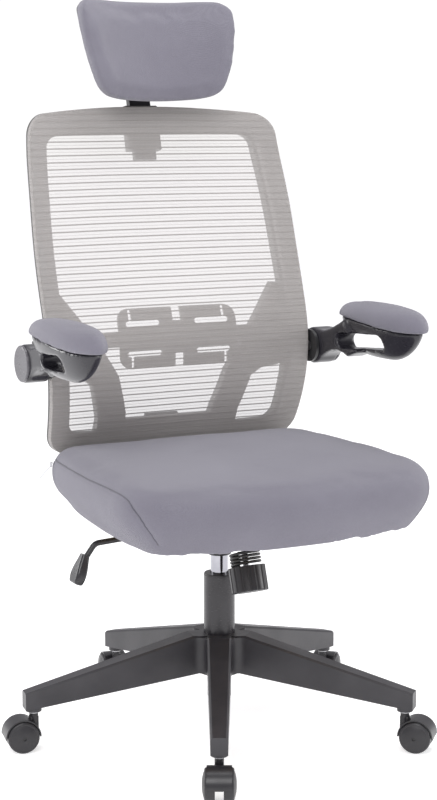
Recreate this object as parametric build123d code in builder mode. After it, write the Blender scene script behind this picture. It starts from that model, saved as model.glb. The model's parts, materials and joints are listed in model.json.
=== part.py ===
"""Mesh-back office chair with headrest, flip-up arms and a sprung tilt mechanism.

Units are millimetres. +Z is up, the chair faces -Y, and the origin is on the floor
under the axis of the column. The sitter's left is +X.
"""
from build123d import *
from math import cos, radians, sin, tan
import os

os.makedirs("parts", exist_ok=True)

# ---------------------------------------------------------------- driving dimensions
# base and casters
LEG_HEADINGS = (243, 315, 27, 99, 171)   # direction of each leg, degrees from +X
CASTER_TURN = (0, 0, 18, -18, 0)         # how far each caster is swivelled off its leg
STEM_CIRCLE = 305
LEG_TIP = 320
LEG_TIP_UNDER = 62
LEG_TOP_TIP = 93
LEG_TOP_HUB = 164
LEG_HALF_HUB = 19
LEG_HALF_TIP = 13
LEG_POCKETS = ((60, 112), (116, 172), (176, 230), (234, 286))
WEB_R = 16                               # round webs between neighbouring legs
HUB_R = 33
HUB_TOP = 163
WHEEL_R = 25
TRAIL = 20
STEM_R = 5.5
JOURNAL_R = 3.5
AXLE_R = 3
HOOD_R = 28
HOOD_HALF = 18.5
WEB_HALF = 6
FIT = 0.05                               # radial clearance of a running fit

# gas lift
TUBE_R = 25
TUBE_TOP = 258
TUBE_FOOT_R = 19
TUBE_FOOT = 58
CYL_R = 14
CYL_BOTTOM = 90
CYL_TAPER = 291
CYL_TOP = 328
ROD_R = 5

# mechanism, tilting about an axis along X
TILT_Y = -38
TILT_Z = 338
PLATE_UNDER = 362
BOARD_UNDER = 366
BOARD_TOP = 378
SPRING_LEAN = 18.9                       # lean of the tension screw off vertical, degrees
KNOB_TOP_Y = -93
KNOB_TOP_Z = 290
KNOB_R = 29
KNOB_LENGTH = 40
LEVER_PIVOT_X = -34.5
LEVER_PIVOT_Z = 341
LEVER_SLOPE = 3.5                        # degrees the lever falls toward its outer end
LEVER_R = 4.5

# seat
SEAT_UNDER = 358
SEAT_LIP = 352
SEAT_TOP = 456
SEAT_SIDE_LOW = 408                      # below this height the sides curve inward
SEAT_TUCK = ((352, 46), (372, 26), (390, 9), (SEAT_SIDE_LOW, 0))  # height, inset
BOARD_INSET = 52
SEAT_BOLTS = ((-85, -85), (85, -85), (-85, 45), (85, 45))
BRACKET_BOLTS = ((-17, 88), (17, 88), (0, 128))
BRACKET_UNDER = 360
BRACKET_HALF = 30
BACK_SLOPE = 20                          # lean of the bracket's upright toward the sitter

# backrest: stations (height, Y at the side edge, how much deeper the middle is)
BACK_STATIONS = (
    (424, 173, 10), (470, 153, 11), (512, 136, 11), (560, 126, 10), (620, 127, 10),
    (690, 146, 15), (760, 168, 24), (850, 192, 34), (930, 215, 40), (1006, 239, 45),
)
BACK_HALF = 234
BACK_REACH = 245                         # half width over which the surface is defined
BACK_BOTTOM = 436
BACK_TOP = 993
MESH_T = 1.2
RIM_BACK = 13
RIM_WIDTH = 29
RAIL_WIDTH = 33
RAIL_BEVEL = 11                          # how far the frame's outer edge falls away at the rear
FRAME_FRONT = 13.2
FRAME_BACK = 31
SUPPORT_FRONT = 31.2
SUPPORT_BACK = 48
FRAME_SCREWS = ((-215, 590), (215, 590), (-210, 652), (210, 652), (-110, 450), (110, 450))

# arms
ARM_Y = 130
ARM_Z = 597
ARM_X = 274
DRUM_R = 30.5
PAD_CENTRE_Y = -40
HULL_SECTIONS = ((658, 35, 115, PAD_CENTRE_Y), (625, 27, 100, -41), (605, 18, 74, -42), (594, 8, 40, -42))
PAD_SECTIONS = ((638, 38, 119), (658, 39, 121), (668, 36, 112), (676, 28, 92), (681, 16, 56))
NECK_X = 242
DRUM_IN = 240.5
DRUM_OUT = 278.5
MOUNT_X = 235
MOUNT_T = 5

# lumbar support
LUMBAR_Z = 623
LUMBAR_FRONT = 7
CROSSBAR_HALF = 192

# headrest: stations as for the backrest
POST_Y = 288                             # the post's centre at height POST_Z
POST_Z = 960
POST_LEAN = 15
POST_HALF = 19
POST_DEPTH = 6
SOCKET_HALF = 30
SOCKET_DEPTH = 10
HEAD_PIVOT_Z = 1078
HEAD_PIVOT_Y = POST_Y + (HEAD_PIVOT_Z - POST_Z) * tan(radians(POST_LEAN))
HEAD_STATIONS = ((990, 152, 54), (1080, 174, 54), (1176, 209, 54))
HEAD_THICK = 36

WEB_CENTRE = (LEG_HALF_HUB + WEB_R) / sin(radians(36))
WEB_END = WEB_CENTRE * cos(radians(36))

nodes = {}


def leg_half(along):
    """Half width of a leg at a distance from the column."""
    return LEG_HALF_HUB + (LEG_HALF_TIP - LEG_HALF_HUB) * (along - WEB_END) / (LEG_TIP - WEB_END)


def keep(part, label):
    """Names a finished piece and lists it for export."""
    part.label = label
    nodes[label] = part


def leg_place(i, radius=STEM_CIRCLE):
    """Centre of caster stem i in plan."""
    a = radians(LEG_HEADINGS[i])
    return radius * cos(a), radius * sin(a)


def ring(outer, inner, low, high, x=0, y=0, mode=Mode.ADD):
    """A plain turned ring about a vertical axis, added to the current part."""
    with BuildSketch(Plane.XY.offset(low)) as section:
        with Locations((x, y)):
            Circle(outer)
            if inner:
                Circle(inner, mode=Mode.SUBTRACT)
    extrude(section.sketch, amount=high - low, mode=mode)


# ---------------------------------------------------------------- five-star base
def leg_profile(top_drop, low, near, far):
    """Side view of a leg, its top lowered by top_drop, on Plane.XZ with the column at x = 0."""
    slope = (LEG_TOP_HUB - LEG_TOP_TIP) / (LEG_TIP - WEB_END)
    top_near = LEG_TOP_HUB - slope * (near - WEB_END) - top_drop
    top_far = LEG_TOP_HUB - slope * (far - WEB_END) - top_drop
    with BuildSketch(Plane.XZ) as profile:
        Polygon((near, low), (far, low), (far, top_far), (near, top_near), align=None)
    return profile.sketch


def make_base_star():
    # undersides of the legs are hollow between cross ribs
    with BuildPart() as pocket:
        with BuildSketch(Plane.XY.offset(50)):
            for near, far in LEG_POCKETS:
                half_near = leg_half(near) - 4.5
                half_far = leg_half(far) - 4.5
                Polygon((near, half_near), (far, half_far), (far, -half_far), (near, -half_near), align=None)
        extrude(amount=130)
        extrude(leg_profile(6, 40, 45, LEG_TIP), amount=30, both=True, mode=Mode.INTERSECT)

    with BuildPart() as leg:
        with BuildSketch(Plane.XY.offset(50)):
            Polygon((20, LEG_HALF_HUB), (WEB_END, LEG_HALF_HUB), (LEG_TIP, LEG_HALF_TIP),
                    (LEG_TIP, -LEG_HALF_TIP), (WEB_END, -LEG_HALF_HUB), (20, -LEG_HALF_HUB), align=None)
        extrude(amount=130)
        with BuildSketch(Plane.XZ):
            Polygon((0, 103), (35, 103), (LEG_TIP - 26, 69), (LEG_TIP + 2, 66), (LEG_TIP + 2, LEG_TOP_TIP),
                    (WEB_END, LEG_TOP_HUB), (30, HUB_TOP), (0, HUB_TOP), align=None)
        extrude(amount=30, both=True, mode=Mode.INTERSECT)
        long_top = leg.edges().filter_by(lambda e: e.length > 200 and e.center().Z > 110)
        chamfer(long_top, 3)
        add(pocket.part, mode=Mode.SUBTRACT)
        ring(12.5, 0, LEG_TIP_UNDER, 92, STEM_CIRCLE)
        ring(STEM_R + 0.1, 0, LEG_TIP_UNDER - 5, LEG_TIP_UNDER + 24, STEM_CIRCLE, mode=Mode.SUBTRACT)

    with BuildPart() as star:
        with BuildSketch(Plane.XY.offset(103)):
            Circle(Vector(WEB_END, LEG_HALF_HUB).length)
            with PolarLocations(WEB_CENTRE, 5, start_angle=LEG_HEADINGS[0] + 36):
                Circle(WEB_R, mode=Mode.SUBTRACT)
        extrude(amount=HUB_TOP - 1.5 - 103)
        ring(HUB_R, 0, 98, 120)
        with PolarLocations(0, 5, start_angle=LEG_HEADINGS[0]):
            add(leg.part)
        with BuildSketch(Plane.XZ):
            Polygon((0, 90), (TUBE_FOOT_R + 0.2, 90), (TUBE_FOOT_R + 0.2, 104), (TUBE_R - 1.6, 104),
                    (TUBE_R, HUB_TOP), (TUBE_R, 180), (0, 180), align=None)
        revolve(axis=Axis.Z, mode=Mode.SUBTRACT)
    keep(star.part, "base_star")


def make_caster_stems():
    with BuildPart() as stems:
        for i in range(5):
            x, y = leg_place(i)
            ring(JOURNAL_R, 0, 34, LEG_TIP_UNDER - 2.5, x, y)
            ring(8, 0, LEG_TIP_UNDER - 2.5, LEG_TIP_UNDER, x, y)
            ring(STEM_R, 0, LEG_TIP_UNDER, LEG_TIP_UNDER + 22, x, y)
            with BuildSketch(Plane.XY.offset(LEG_TIP_UNDER + 12)):
                with Locations((x, y)):
                    Circle(STEM_R)
                    Circle(STEM_R - 1, mode=Mode.SUBTRACT)
            extrude(amount=4, mode=Mode.SUBTRACT)
    keep(stems.part, "caster_stems")
    with BuildPart() as rings:
        for i in range(5):
            x, y = leg_place(i)
            ring(STEM_R + 0.1, STEM_R - 1, LEG_TIP_UNDER + 12, LEG_TIP_UNDER + 16, x, y)
    keep(rings.part, "caster_grip_rings")


# ---------------------------------------------------------------- casters
def caster_frame(i):
    """Origin on the floor under stem i, local +X along the way the caster trails."""
    x, y = leg_place(i)
    heading = radians(LEG_HEADINGS[i] + CASTER_TURN[i])
    return Plane(origin=(x, y, 0), x_dir=(cos(heading), sin(heading), 0), z_dir=(0, 0, 1))


def make_caster(i):
    place = caster_frame(i)
    side = Plane(origin=place.origin, x_dir=place.x_dir, z_dir=place.y_dir * -1)
    with BuildPart() as hood:
        # arched cover over both wheels, open below the axle
        with BuildSketch(side):
            with Locations((TRAIL, WHEEL_R)):
                Circle(HOOD_R)
                Circle(WHEEL_R + 0.9, mode=Mode.SUBTRACT)
            with Locations((TRAIL, WHEEL_R - HOOD_R)):
                Rectangle(2 * HOOD_R + 2, 2 * HOOD_R, mode=Mode.SUBTRACT)
        extrude(amount=HOOD_HALF, both=True)
        # web between the wheels carries the axle and the stem
        with BuildSketch(side):
            with Locations((TRAIL, WHEEL_R)):
                Circle(HOOD_R - 1)
                Circle(8)
            with Locations((TRAIL, WHEEL_R - HOOD_R)):
                Rectangle(2 * HOOD_R, 2 * HOOD_R - 2, mode=Mode.SUBTRACT)
            with Locations((TRAIL, WHEEL_R)):
                Circle(8)
            with Locations((0, 42)):
                Rectangle(13, 24)
        extrude(amount=WEB_HALF, both=True)
        with BuildSketch(place.offset(44)):
            Circle(7)
        extrude(amount=LEG_TIP_UNDER - 4 - 44)
        with BuildSketch(place.offset(33.5)):
            Circle(JOURNAL_R + FIT)
        extrude(amount=40, mode=Mode.SUBTRACT)
        with BuildSketch(side):
            with Locations((TRAIL, WHEEL_R)):
                Circle(AXLE_R + FIT)
        extrude(amount=WEB_HALF + 1, both=True, mode=Mode.SUBTRACT)
        # the neck stays clear of the wheels
        with BuildSketch(side):
            with Locations((TRAIL, WHEEL_R)):
                Circle(WHEEL_R + 0.9)
        with_wheels = extrude(amount=HOOD_HALF, both=True, mode=Mode.PRIVATE)
        with BuildSketch(side):
            with Locations((TRAIL, WHEEL_R)):
                Circle(WHEEL_R + 0.9)
        with_web = extrude(amount=WEB_HALF, both=True, mode=Mode.PRIVATE)
        add(with_wheels - with_web, mode=Mode.SUBTRACT)
    keep(hood.part, f"caster_hood_{i + 1}")

    axle_line = Plane(origin=place.from_local_coords(Vector(TRAIL, 0, WHEEL_R)),
                      x_dir=place.x_dir, z_dir=place.y_dir)
    with BuildPart() as axle:
        with BuildSketch(axle_line):
            Circle(AXLE_R)
        extrude(amount=24, both=True)
    keep(axle.part, f"caster_axle_{i + 1}")

    with BuildPart() as wheels:
        for mirror_sign in (1, -1):
            across = Plane(origin=axle_line.origin, x_dir=place.y_dir * mirror_sign, z_dir=place.x_dir)
            with BuildSketch(across):
                with BuildLine():
                    Polyline((6.4, AXLE_R), (6.4, WHEEL_R - 1), (7.4, WHEEL_R), (18.5, WHEEL_R))
                    ThreePointArc((18.5, WHEEL_R), (21.2, WHEEL_R - 1.3), (22, WHEEL_R - 4.5))
                    ThreePointArc((22, WHEEL_R - 4.5), (24.6, 12), (25.5, AXLE_R))
                    Line((25.5, AXLE_R), (6.4, AXLE_R))
                make_face()
            revolve(axis=Axis(axle_line.origin, place.y_dir))
    keep(wheels.part, f"caster_wheels_{i + 1}")


# ---------------------------------------------------------------- gas lift
def make_gas_lift():
    with BuildPart() as tube:
        with BuildSketch(Plane.XZ):
            with BuildLine():
                Polyline((ROD_R + FIT, TUBE_FOOT), (TUBE_FOOT_R, TUBE_FOOT), (TUBE_FOOT_R, 104),
                         (TUBE_R - 1.6, 104), (TUBE_R, HUB_TOP), (TUBE_R, TUBE_TOP), (22.5, TUBE_TOP),
                         (22.5, 110), (16.5, 104), (16.5, TUBE_FOOT + 4), (ROD_R + FIT, TUBE_FOOT + 4),
                         close=True)
            make_face()
        revolve(axis=Axis.Z)
    keep(tube.part, "lift_outer_tube")

    with BuildPart() as bush:
        ring(22.5, CYL_R + FIT, 178, TUBE_TOP)
        ring(24.3, CYL_R + FIT, TUBE_TOP, TUBE_TOP + 2.5)
        fillet(bush.edges().group_by(Axis.Z)[-1], 0.8)
    keep(bush.part, "lift_guide_bush")

    with BuildPart() as bearing:
        ring(15, ROD_R + FIT, TUBE_FOOT + 4, TUBE_FOOT + 5.5)
        ring(15, ROD_R + FIT, TUBE_FOOT + 9.5, TUBE_FOOT + 11)
        with BuildSketch(Plane.XY.offset(TUBE_FOOT + 5.5)):
            Circle(13.5)
            Circle(ROD_R + 1, mode=Mode.SUBTRACT)
        extrude(amount=4)
    keep(bearing.part, "lift_thrust_bearing")

    with BuildPart() as rod:
        ring(ROD_R, 0, TUBE_FOOT - 4, 215)
        with BuildSketch(Plane.XY.offset(TUBE_FOOT - 2.4)):
            Circle(ROD_R)
            Circle(ROD_R - 1, mode=Mode.SUBTRACT)
        extrude(amount=1.6, mode=Mode.SUBTRACT)
        ring(11 - FIT, 0, 215, 225)
    keep(rod.part, "lift_piston_rod")

    with BuildPart() as clip:
        with BuildSketch(Plane.XY.offset(TUBE_FOOT - 2.4)):
            Circle(9)
            Circle(ROD_R - 1, mode=Mode.SUBTRACT)
            with Locations((0, -8)):
                Rectangle(5, 12, mode=Mode.SUBTRACT)
        extrude(amount=1.6)
    keep(clip.part, "lift_retaining_clip")

    with BuildPart() as cylinder:
        with BuildSketch(Plane.XZ):
            with BuildLine():
                Polyline((ROD_R + FIT, CYL_BOTTOM), (CYL_R - 1, CYL_BOTTOM), (CYL_R, CYL_BOTTOM + 1),
                         (CYL_R, CYL_TAPER), (CYL_R - 1, CYL_TOP), (4 + FIT, CYL_TOP), (4 + FIT, 315),
                         (11, 315), (11, CYL_BOTTOM + 10), (ROD_R + FIT, CYL_BOTTOM + 10), close=True)
            make_face()
        revolve(axis=Axis.Z)
    keep(cylinder.part, "lift_cylinder")

    with BuildPart() as pin:
        ring(4, 0, 321, 338.2)
        fillet(pin.edges().group_by(Axis.Z)[-1], 1)
    keep(pin.part, "gas_release_pin")


# ---------------------------------------------------------------- tilt mechanism
SCREW_DIR = (0, sin(radians(SPRING_LEAN)), cos(radians(SPRING_LEAN)))


def screw_plane(along):
    """Plane square to the tension screw, a distance up it from the knob's top."""
    origin = (0, KNOB_TOP_Y + along * SCREW_DIR[1], KNOB_TOP_Z + along * SCREW_DIR[2])
    return Plane(origin=origin, x_dir=(1, 0, 0), z_dir=SCREW_DIR)


def make_mechanism():
    floor_low = 324
    with BuildPart() as housing:
        # pressed channel, open at the top
        with BuildSketch(Plane.YZ):
            with BuildLine():
                Polyline((-118, floor_low), (32, floor_low), (32, 338), (10, 344), (-20, 350),
                         (-62, 356), (-118, 356), close=True)
            make_face()
        extrude(amount=36, both=True)
        with BuildSketch(Plane.YZ):
            with BuildLine():
                Polyline((-115, floor_low + 3), (29, floor_low + 3), (29, 370), (-115, 370), close=True)
            make_face()
        extrude(amount=33, both=True, mode=Mode.SUBTRACT)
        # seat for the spring, square to the screw
        with BuildSketch(screw_plane(27)):
            Circle(26)
        extrude(amount=14)
        with BuildSketch(Plane.XY.offset(floor_low + 3)):
            with Locations((0, -84)):
                Rectangle(60, 66)
        extrude(amount=20, mode=Mode.SUBTRACT)
        # taper socket for the column
        with BuildSketch(Plane.XZ):
            with BuildLine():
                Polyline((CYL_R, CYL_TAPER), (18, CYL_TAPER), (19, CYL_TAPER + 1), (19, 332),
                         (CYL_R - 1, 332), (CYL_R - 1, CYL_TOP), close=True)
            make_face()
        revolve(axis=Axis.Z)
        with BuildSketch(Plane.XZ):
            with BuildLine():
                Polyline((0, CYL_TAPER), (CYL_R, CYL_TAPER), (CYL_R - 1, CYL_TOP), (CYL_R - 1, 333),
                         (0, 333), close=True)
            make_face()
        revolve(axis=Axis.Z, mode=Mode.SUBTRACT)
        # slot that lets the screw swing, pivot holes, and the way in for the lever
        with BuildSketch(Plane.XY.offset(300)):
            with Locations((0, -88.5)):
                Rectangle(11.6, 31)
        extrude(amount=27.5, mode=Mode.SUBTRACT)
        with BuildSketch(Plane.YZ):
            with Locations((TILT_Y, TILT_Z)):
                Circle(6)
        extrude(amount=40, both=True, mode=Mode.SUBTRACT)
        with BuildSketch(Plane.XY.offset(331)):
            with Locations((-34.5, 0)):
                Rectangle(9, 17)
        extrude(amount=30, mode=Mode.SUBTRACT)
        # ears that carry the lever cradle
        for y in (-11.5, 8.5):
            with BuildSketch(Plane.XZ.offset(-y - 3)):
                with Locations((-36, 338)):
                    Rectangle(12, 16)
            extrude(amount=3)
        with BuildSketch(Plane.XZ):
            with Locations((LEVER_PIVOT_X, LEVER_PIVOT_Z)):
                Circle(2 + FIT)
        extrude(amount=12, both=True, mode=Mode.SUBTRACT)
    keep(housing.part, "mech_housing")

    with BuildPart() as pin:
        with BuildSketch(Plane.YZ):
            with Locations((TILT_Y, TILT_Z)):
                Circle(6 - FIT)
        extrude(amount=44, both=True)
        for side in (1, -1):
            with BuildSketch(Plane.YZ.offset(side * 44)):
                with Locations((TILT_Y, TILT_Z)):
                    Circle(8)
            extrude(amount=side * 2)
    keep(pin.part, "tilt_pivot_pin")

    # round wire coil between the spring seat and the knob
    with BuildPart() as spring:
        turns = 5
        pitch = 5.25
        wire = 2.1
        with BuildLine() as coil:
            Helix(pitch=pitch, height=turns * pitch - pitch, radius=22.5,
                  center=(0, KNOB_TOP_Y + 2.6 * SCREW_DIR[1], KNOB_TOP_Z + 2.6 * SCREW_DIR[2]),
                  direction=SCREW_DIR)
        with BuildSketch(Plane(origin=coil.line @ 0, z_dir=coil.line % 0)):
            Circle(wire)
        sweep(is_frenet=True)
    keep(spring.part, "tension_spring")

    with BuildPart() as plate:
        with BuildSketch(Plane.XY.offset(PLATE_UNDER)):
            with Locations((0, -20)):
                RectangleRounded(200, 160, 14)
        extrude(amount=BOARD_UNDER - PLATE_UNDER)
        for side in (1, -1):
            with BuildSketch(Plane.YZ.offset(side * 38)):
                with BuildLine():
                    Polyline((-62, PLATE_UNDER), (-14, PLATE_UNDER), (-26, 328), (-50, 328), close=True)
                make_face()
                with Locations((TILT_Y, TILT_Z)):
                    Circle(6 - FIT, mode=Mode.SUBTRACT)
            extrude(amount=side * 4)
        with BuildSketch(Plane.XY.offset(PLATE_UNDER)):
            for x, y in SEAT_BOLTS:
                with Locations((x, y)):
                    Circle(3)
        extrude(amount=6, mode=Mode.SUBTRACT)
    keep(plate.part, "tilt_plate")

    with BuildPart() as bolt:
        with BuildSketch(screw_plane(-34)):
            Circle(5)
        extrude(amount=130)
        with BuildSketch(Plane.XY.offset(PLATE_UNDER)):
            Rectangle(400, 400)
        extrude(amount=100, mode=Mode.SUBTRACT)
    keep(bolt.part, "tension_screw")

    with BuildPart() as knob:
        with BuildSketch(screw_plane(-KNOB_LENGTH)):
            Circle(KNOB_R)
            with PolarLocations(KNOB_R + 1.2, 16):
                Circle(2.6, mode=Mode.SUBTRACT)
        extrude(amount=KNOB_LENGTH)
        fillet(knob.faces().sort_by(Axis(origin=(0, 0, 0), direction=SCREW_DIR))[0].edges(), 2)
        with BuildSketch(screw_plane(-35)):
            Circle(5 + FIT)
        extrude(amount=36, mode=Mode.SUBTRACT)
    keep(knob.part, "tension_knob")


# ---------------------------------------------------------------- height lever
def lever_z(x):
    """Height of the lever's straight run at x."""
    return LEVER_PIVOT_Z + (x - LEVER_PIVOT_X) * tan(radians(LEVER_SLOPE))


def lever_plane(x):
    """Plane square to the lever's straight run, facing inward."""
    run = (cos(radians(LEVER_SLOPE)), 0, sin(radians(LEVER_SLOPE)))
    return Plane(origin=(x, 0, lever_z(x)), x_dir=(0, 1, 0), z_dir=run)


def make_lever():
    with BuildPart() as cradle:
        with BuildSketch(lever_plane(-46)):
            Circle(7)
            Circle(LEVER_R + FIT, mode=Mode.SUBTRACT)
        extrude(amount=20)
        with BuildSketch(Plane.XZ.offset(-11.5)):
            with Locations((LEVER_PIVOT_X, LEVER_PIVOT_Z)):
                Circle(2)
        extrude(amount=5.5)
        with BuildSketch(Plane.XZ.offset(6)):
            with Locations((LEVER_PIVOT_X, LEVER_PIVOT_Z)):
                Circle(2)
        extrude(amount=5.5)
    keep(cradle.part, "lever_cradle")

    bend_start = -205
    with BuildPart() as lever:
        with BuildLine() as run:
            FilletPolyline((14, 0, lever_z(14)), (bend_start - 10, 0, lever_z(bend_start - 10)),
                           (-236, 0, 302), radius=14)
        with BuildSketch(Plane(origin=run.line @ 0, z_dir=run.line % 0)):
            Circle(LEVER_R)
        sweep()
    keep(lever.part, "height_lever")

    grip_top = Vector(-231.5, 0, 314)
    grip_dir = Vector(-17, 0, -45).normalized()
    with BuildPart() as grip:
        for along, wide, thick in ((0, 15, 13), (10, 19, 15), (34, 30, 17), (47, 27, 13)):
            with BuildSketch(Plane(origin=grip_top + grip_dir * along, x_dir=(0, 1, 0), z_dir=grip_dir)):
                RectangleRounded(wide, thick, 5)
        loft()
        fillet(grip.faces().sort_by(Axis.Z)[0].edges(), 4)
        add(lever.part, mode=Mode.SUBTRACT)
    keep(grip.part, "lever_grip")


# ---------------------------------------------------------------- seat


def seat_plan(height, inset=0):
    """Rounded plan of the seat, wider in front; the front is inset less than the rest."""
    with BuildSketch(Plane.XY.offset(height)) as plan:
        front_x, middle_x, rear_x = 262 - inset, 257 - inset, 226 - inset
        front_y, rear_y = 0.45 * inset - 250, 168 - 0.45 * inset
        with BuildLine():
            ThreePointArc((-front_x, front_y), (0, front_y - 28), (front_x, front_y))
            ThreePointArc((front_x, front_y), (middle_x, -50), (rear_x, rear_y))
            ThreePointArc((rear_x, rear_y), (0, rear_y + 6), (-rear_x, rear_y))
            ThreePointArc((-rear_x, rear_y), (-middle_x, -50), (-front_x, front_y))
        make_face()
        fillet(plan.vertices().group_by(Axis.Y)[0], 84 - inset)
        fillet(plan.vertices().group_by(Axis.Y)[-1], 58 - inset)
    return plan.sketch


def make_seat():
    with BuildPart() as board:
        extrude(seat_plan(BOARD_UNDER, BOARD_INSET), amount=BOARD_TOP - BOARD_UNDER)
        with BuildSketch(Plane.XY.offset(BOARD_UNDER)):
            for x, y in SEAT_BOLTS + BRACKET_BOLTS:
                with Locations((x, y)):
                    Circle(3)
        extrude(amount=BOARD_TOP - BOARD_UNDER, mode=Mode.SUBTRACT)
    keep(board.part, "seat_board")

    with BuildPart() as cushion:
        extrude(seat_plan(SEAT_SIDE_LOW), amount=SEAT_TOP - SEAT_SIDE_LOW)
        fillet(cushion.edges().group_by(Axis.Z)[-1], 26)
        # the sides tuck in under the seat
        for low, high in zip(SEAT_TUCK, SEAT_TUCK[1:]):
            loft([seat_plan(*low), seat_plan(*high)])
        # the front lip hangs lower than the rest
        with BuildSketch(Plane.YZ):
            with BuildLine():
                Polyline((-250, SEAT_LIP - 10), (-250, SEAT_LIP), (-200, SEAT_UNDER), (250, SEAT_UNDER),
                         (250, SEAT_LIP - 10), close=True)
            make_face()
        extrude(amount=300, both=True, mode=Mode.SUBTRACT)
        # hollow for the board
        extrude(seat_plan(SEAT_LIP - 5, BOARD_INSET), amount=BOARD_TOP - SEAT_LIP + 5, mode=Mode.SUBTRACT)
        # notch for the back bracket
        with BuildSketch(Plane.XY.offset(SEAT_LIP - 5)):
            with Locations((0, 160)):
                Rectangle(66, 80)
        extrude(amount=BOARD_UNDER - SEAT_LIP + 5.2, mode=Mode.SUBTRACT)
    keep(cushion.part, "seat_cushion")

    with BuildPart() as bolts:
        for x, y in SEAT_BOLTS:
            with BuildSketch(Plane.XY.offset(PLATE_UNDER - 4)):
                with Locations((x, y)):
                    RegularPolygon(5.8, 6)
            extrude(amount=4)
            ring(3, 0, PLATE_UNDER, BOARD_TOP, x, y)
        for x, y in BRACKET_BOLTS:
            with BuildSketch(Plane.XY.offset(BRACKET_UNDER - 4)):
                with Locations((x, y)):
                    RegularPolygon(5.8, 6)
            extrude(amount=4)
            ring(3, 0, BRACKET_UNDER, BOARD_TOP, x, y)
    keep(bolts.part, "seat_bolts")

    # zip slider with its pull hanging out at the rear corner
    with BuildPart() as slider:
        with BuildSketch(Plane.XY.offset(430)):
            with Locations(Location((-233.5, 123), 118)):
                Rectangle(9, 3)
        extrude(amount=8)
        with BuildLine() as tag:
            Polyline((-234, 125, 434), (-250, 136, 412))
        with BuildSketch(Plane(origin=tag.line @ 0, x_dir=(0.54, 0.84, 0), z_dir=tag.line % 0)):
            Rectangle(4, 1.4)
        sweep()
        add(nodes["seat_cushion"], mode=Mode.SUBTRACT)
    keep(slider.part, "zip_slider")


def make_back_bracket():
    corner = (0, 259, BRACKET_UNDER + 3)
    rise = 124
    top = (0, corner[1] - rise * tan(radians(BACK_SLOPE)), corner[2] + rise)
    with BuildPart() as bracket:
        with BuildLine() as path:
            FilletPolyline((0, 62, BRACKET_UNDER + 3), corner, top, radius=22)
        with BuildSketch(Plane(origin=path.line @ 0, x_dir=(1, 0, 0), z_dir=path.line % 0)):
            Rectangle(2 * BRACKET_HALF, 6)
        sweep()
        with BuildSketch(Plane.XY.offset(BRACKET_UNDER - 1)):
            for x, y in BRACKET_BOLTS:
                with Locations((x, y)):
                    Circle(3)
        extrude(amount=8, mode=Mode.SUBTRACT)
    keep(bracket.part, "back_bracket")


# ---------------------------------------------------------------- backrest
def back_sheet(front, rear):
    """Sections of the curved sheet between two depths behind the mesh's face."""
    sections = []
    for z, edge, middle in BACK_STATIONS:
        with BuildSketch(Plane.XY.offset(z)) as section:
            with BuildLine():
                ThreePointArc((-BACK_REACH, edge + front), (0, edge + middle + front), (BACK_REACH, edge + front))
                Line((BACK_REACH, edge + front), (BACK_REACH, edge + rear))
                ThreePointArc((BACK_REACH, edge + rear), (0, edge + middle + rear), (-BACK_REACH, edge + rear))
                Line((-BACK_REACH, edge + rear), (-BACK_REACH, edge + front))
            make_face()
        sections.append(section.sketch)
    return sections


def back_outline(inset=0, crown=14):
    """Front view of the backrest with rounded corners, on Plane.XZ, inset all round."""
    side = BACK_HALF - inset
    shoulder = BACK_TOP - 14 - inset
    bottom = BACK_BOTTOM + inset
    corner = max(40 - inset, 22)
    with BuildSketch(Plane.XZ) as outline:
        with BuildLine():
            ThreePointArc((-side + 15, shoulder), (0, shoulder + crown), (side - 15, shoulder))
            ThreePointArc((side - 15, shoulder), (side, 690), (side - 14, bottom + 4))
            ThreePointArc((side - 14, bottom + 4), (0, bottom), (-side + 14, bottom + 4))
            ThreePointArc((-side + 14, bottom + 4), (-side, 690), (-side + 15, shoulder))
        make_face()
        fillet(outline.vertices(), corner)
    return outline.sketch


def back_depth(x, z):
    """How far back the mesh's face is at a point of the front view."""
    for low, high in zip(BACK_STATIONS, BACK_STATIONS[1:]):
        if low[0] <= z <= high[0]:
            part = (z - low[0]) / (high[0] - low[0])
            edge = low[1] + part * (high[1] - low[1])
            middle = low[2] + part * (high[2] - low[2])
            return edge + middle * (1 - (x / BACK_REACH) ** 2)
    raise ValueError("height outside the backrest")


def post_plane(z):
    """Plane square to the headrest post where its centre is at height z."""
    lean = radians(POST_LEAN)
    return Plane(origin=(0, POST_Y + (z - POST_Z) * tan(lean), z), x_dir=(1, 0, 0), z_dir=(0, sin(lean), cos(lean)))


def make_back_mesh():
    with BuildPart() as mesh:
        loft(back_sheet(0, MESH_T))
        extrude(back_outline(), amount=400, both=True, mode=Mode.INTERSECT)
    keep(mesh.part, "back_mesh")


def make_mesh_rim():
    with BuildPart() as rim:
        loft(back_sheet(MESH_T + 0.2, RIM_BACK))
        extrude(back_outline(), amount=400, both=True, mode=Mode.INTERSECT)
        extrude(back_outline(RIM_WIDTH, 2), amount=400, both=True, mode=Mode.SUBTRACT)
        with BuildSketch(post_plane(900)):
            Rectangle(2 * SOCKET_HALF + 0.6, 2 * SOCKET_DEPTH + 0.6)
        extrude(amount=150, mode=Mode.SUBTRACT)
        add(nodes["frame_screws"], mode=Mode.SUBTRACT)
    keep(rim.part, "mesh_rim")


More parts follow.
